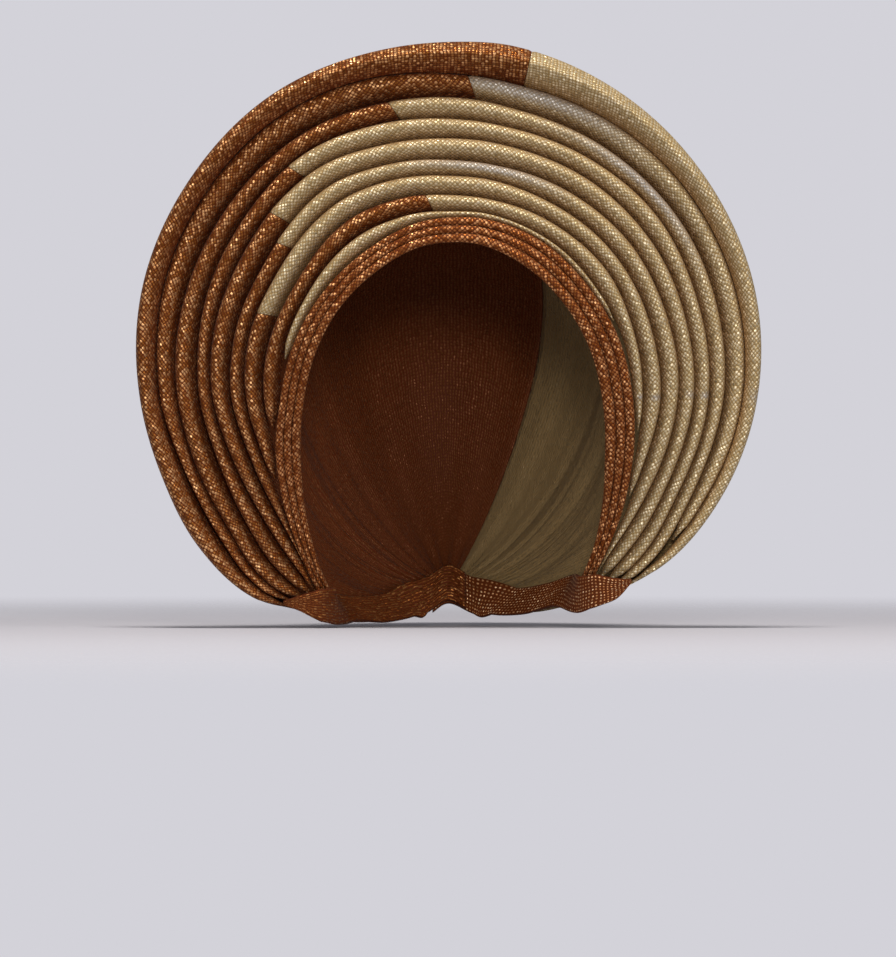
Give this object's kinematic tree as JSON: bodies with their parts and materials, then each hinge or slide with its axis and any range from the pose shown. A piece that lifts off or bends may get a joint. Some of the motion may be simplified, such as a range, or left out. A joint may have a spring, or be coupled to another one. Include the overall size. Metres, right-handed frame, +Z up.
{
  "type": "pre-tied gele head wrap",
  "caption": "Pre-tied gele: a round upright fan of tubular colour-blocked pleats over narrow brow folds, with a cloth wrap and flat ties behind.",
  "frame": {"origin": "the crown seat, at the top of the hollow, where the wrap bears on the top of the head", "axes": "+Z up, the open front looks along -Y, +X to the right of someone who looks at the front"},
  "size_m": [0.2849, 0.1619, 0.2645],
  "materials": {
    "copper_cloth": "woven copper lurex, ribbed, soft metallic sheen",
    "gold_cloth": "woven pale gold lurex, fine grain, soft metallic sheen"
  },
  "bodies": {
    "root": {"back_wrap_copper": "copper_cloth", "back_wrap_gold": "gold_cloth", "brow_fold_1": "copper_cloth", "brow_fold_2": "copper_cloth", "brow_fold_3": "copper_cloth", "left_tie": "copper_cloth", "pleat_1_copper": "copper_cloth", "pleat_1_gold": "gold_cloth", "pleat_2_copper": "copper_cloth", "pleat_2_gold": "gold_cloth", "pleat_3_copper": "copper_cloth", "pleat_3_gold": "gold_cloth", "pleat_4_copper": "copper_cloth", "pleat_4_gold": "gold_cloth", "pleat_5_copper": "copper_cloth", "pleat_5_gold": "gold_cloth", "pleat_6_copper": "copper_cloth", "pleat_6_gold": "gold_cloth", "pleat_7_copper": "copper_cloth", "pleat_7_gold": "gold_cloth", "pleat_8_copper": "copper_cloth", "pleat_8_gold": "gold_cloth", "pleat_9_gold": "gold_cloth", "right_tie": "copper_cloth"}
  },
  "joints": []
}
